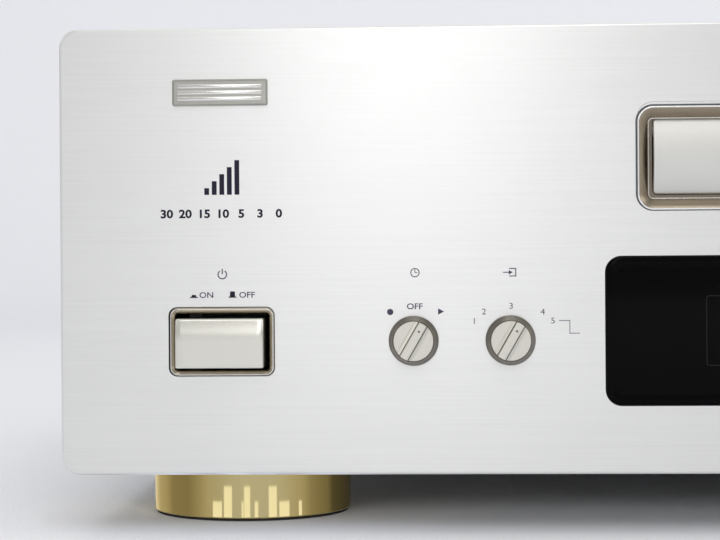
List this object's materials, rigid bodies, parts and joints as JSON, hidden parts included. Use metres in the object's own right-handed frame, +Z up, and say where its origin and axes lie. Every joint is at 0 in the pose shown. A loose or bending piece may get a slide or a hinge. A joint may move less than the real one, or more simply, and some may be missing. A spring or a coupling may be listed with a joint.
{
  "type": "minidisc deck",
  "caption": "Full-width mini disc recorder deck with a brushed silver front, drop-in disc door, dark display window, push keys, rotary controls and round gold feet.",
  "frame": {"origin": "on the surface that the deck stands on, at the middle of its footprint with controls and jacks", "axes": "+X to the right of someone facing the deck, +Y to its back, +Z up"},
  "size_m": [0.434, 0.345, 0.121],
  "materials": {
    "brushed_face": "silver anodised, fine horizontal brushing",
    "black_moulding": "black moulding",
    "badge_metal": "polished relief on a satin ground",
    "dark_frame": "bronze grey anodised",
    "silver_button": "satin with a bright edge",
    "switch_plastic": "black moulding",
    "knob_metal": "turned, satin",
    "bronze_frame": "bronze anodised",
    "silver_door": "satin",
    "steel": "ground steel",
    "smoked_window": "smoked, polished",
    "tube_glass": "display glass",
    "board": "printed board with parts",
    "jack_metal": "nickel ring",
    "plated_sheet": "zinc plated",
    "painted_cover": "fine textured silver grey paint",
    "pad": "thin black pad",
    "screw_metal": "black zinc",
    "gold_foot": "gold plated, turned",
    "lamination": "varnished laminations",
    "coil_wrap": "yellow tape",
    "plated_jack": "gold plated",
    "gear_plastic": "natural acetal",
    "brass": "machined",
    "motor_can": "plated can",
    "sled_casting": "filled moulding"
  },
  "bodies": {
    "case": {"front_panel": "brushed_face", "front_subpanel": "black_moulding", "board_posts": "steel", "badge_plate": "badge_metal", "power_bezel": "dark_frame", "power_switch": "switch_plastic", "rotary_switches": "switch_plastic", "door_bezel": "bronze_frame", "slot_plate": "black_moulding", "display_window": "smoked_window", "display_tube": "tube_glass", "display_board": "board", "key_board": "board", "jog_encoder": "switch_plastic", "level_controls": "switch_plastic", "phones_jack": "jack_metal", "bottom_chassis": "plated_sheet", "top_cover": "painted_cover", "rear_panel": "painted_cover", "foot_pads": "pad", "foot_screws": "steel", "case_screws": "screw_metal", "transformer_core": "lamination", "transformer_coil": "coil_wrap", "power_board": "board", "main_board": "board", "phono_jacks": "plated_jack", "optical_jacks": "switch_plastic", "mains_inlet": "switch_plastic", "mech_frame": "plated_sheet", "drive_motors": "motor_can", "guide_rods": "steel", "spindle_motor": "motor_can", "foot_front_left": "gold_foot", "foot_front_right": "gold_foot", "foot_rear_left": "gold_foot", "foot_rear_right": "gold_foot"},
    "power_button": {"power_button": "silver_button"},
    "timer_knob": {"timer_knob": "knob_metal"},
    "input_knob": {"input_knob": "knob_metal"},
    "jog_dial": {"jog_dial": "knob_metal"},
    "record_level_knob": {"record_level_knob": "knob_metal"},
    "phones_level_knob": {"phones_level_knob": "knob_metal"},
    "disc_door": {"disc_door": "silver_door", "door_pins": "steel", "door_spring": "steel"},
    "loading_slider": {"loading_slider": "plated_sheet"},
    "disc_holder": {"disc_holder": "plated_sheet"},
    "loading_gear": {"loading_gear": "gear_plastic"},
    "motor_pinion": {"motor_pinion": "brass"},
    "turntable": {"turntable": "gear_plastic"},
    "pickup_sled": {"pickup_sled": "sled_casting"},
    "sled_gear": {"sled_gear": "gear_plastic"},
    "head_arm": {"head_arm": "steel"},
    "stop_key": {"stop_key": "silver_button"},
    "pause_key": {"pause_key": "silver_button"},
    "play_key": {"play_key": "silver_button"},
    "eject_key": {"eject_key": "silver_button"},
    "record_key": {"record_key": "silver_button"},
    "mode_key": {"mode_key": "silver_button"}
  },
  "joints": [
    {"name": "power_push", "type": "slide", "parent": "case", "child": "power_button", "axis": [0, 1, 0], "range_m": [0, 0.0035], "stiffness_N_per_m": 300},
    {"name": "timer_turn", "type": "hinge", "parent": "case", "child": "timer_knob", "pos_m": [-0.133, -0.1565, 0.0466], "axis": [0, 1, 0], "range_deg": [-60, 0]},
    {"name": "input_turn", "type": "hinge", "parent": "case", "child": "input_knob", "pos_m": [-0.1102, -0.1565, 0.0466], "axis": [0, 1, 0], "range_deg": [-90, 30]},
    {"name": "record_level_turn", "type": "hinge", "parent": "case", "child": "record_level_knob", "pos_m": [0.1785, -0.1565, 0.049], "axis": [0, 1, 0], "range_deg": [-90, 210]},
    {"name": "phones_level_turn", "type": "hinge", "parent": "case", "child": "phones_level_knob", "pos_m": [0.133, -0.1565, 0.0466], "axis": [0, 1, 0], "range_deg": [-110, 190]},
    {"name": "jog_turn", "type": "hinge", "parent": "case", "child": "jog_dial", "pos_m": [0.184, -0.1565, 0.089], "axis": [0, 1, 0], "continuous": true},
    {"name": "door_swing", "type": "hinge", "parent": "case", "child": "disc_door", "pos_m": [0, -0.1505, 0.09645], "axis": [1, 0, 0], "range_deg": [0, 78], "stiffness_Nm_per_rad": 0.004, "springref_deg": -20.05},
    {"name": "stop_push", "type": "slide", "parent": "case", "child": "stop_key", "axis": [0, 1, 0], "range_m": [0, 0.0008], "stiffness_N_per_m": 400},
    {"name": "pause_push", "type": "slide", "parent": "case", "child": "pause_key", "axis": [0, 1, 0], "range_m": [0, 0.0008], "stiffness_N_per_m": 400},
    {"name": "play_push", "type": "slide", "parent": "case", "child": "play_key", "axis": [0, 1, 0], "range_m": [0, 0.0008], "stiffness_N_per_m": 400},
    {"name": "eject_push", "type": "slide", "parent": "case", "child": "eject_key", "axis": [0, 1, 0], "range_m": [0, 0.0008], "stiffness_N_per_m": 400},
    {"name": "record_push", "type": "slide", "parent": "case", "child": "record_key", "axis": [0, 1, 0], "range_m": [0, 0.0008], "stiffness_N_per_m": 400},
    {"name": "mode_push", "type": "slide", "parent": "case", "child": "mode_key", "axis": [0, 1, 0], "range_m": [0, 0.0008], "stiffness_N_per_m": 400},
    {"name": "slider_travel", "type": "slide", "parent": "case", "child": "loading_slider", "axis": [0, 1, 0], "range_m": [0, 0.016]},
    {"name": "holder_lower", "type": "slide", "parent": "case", "child": "disc_holder", "axis": [0, 0, 1], "range_m": [-0.005, 0]},
    {"name": "gear_turn", "type": "hinge", "parent": "case", "child": "loading_gear", "pos_m": [-0.023, -0.0795, 0.071], "axis": [0, 0, 1], "range_deg": [-77, 0]},
    {"name": "pinion_turn", "type": "hinge", "parent": "case", "child": "motor_pinion", "pos_m": [-0.023, -0.0627, 0.071], "axis": [0, 0, 1], "range_deg": [0, 191]},
    {"name": "turntable_spin", "type": "hinge", "parent": "case", "child": "turntable", "pos_m": [0, -0.0915, 0.0795], "axis": [0, 0, 1], "continuous": true},
    {"name": "sled_travel", "type": "slide", "parent": "case", "child": "pickup_sled", "axis": [1, 0, 0], "range_m": [0, 0.0155]},
    {"name": "sled_gear_turn", "type": "hinge", "parent": "case", "child": "sled_gear", "pos_m": [0.021, -0.11878, 0.068], "axis": [0, 0, 1], "range_deg": [-112, 0]},
    {"name": "head_lift", "type": "hinge", "parent": "pickup_sled", "child": "head_arm", "pos_m": [0.0155, -0.0515, 0.094], "axis": [1, 0, 0], "range_deg": [0, 10]}
  ],
  "couplings": [
    {"joint": "holder_lower", "follows": "slider_travel", "ratio": -0.3125},
    {"joint": "gear_turn", "follows": "slider_travel", "rad_per_m": -83.333},
    {"joint": "pinion_turn", "follows": "slider_travel", "rad_per_m": 208.33},
    {"joint": "head_lift", "follows": "slider_travel", "rad_per_m": 10.908},
    {"joint": "sled_gear_turn", "follows": "sled_travel", "rad_per_m": -125}
  ]
}
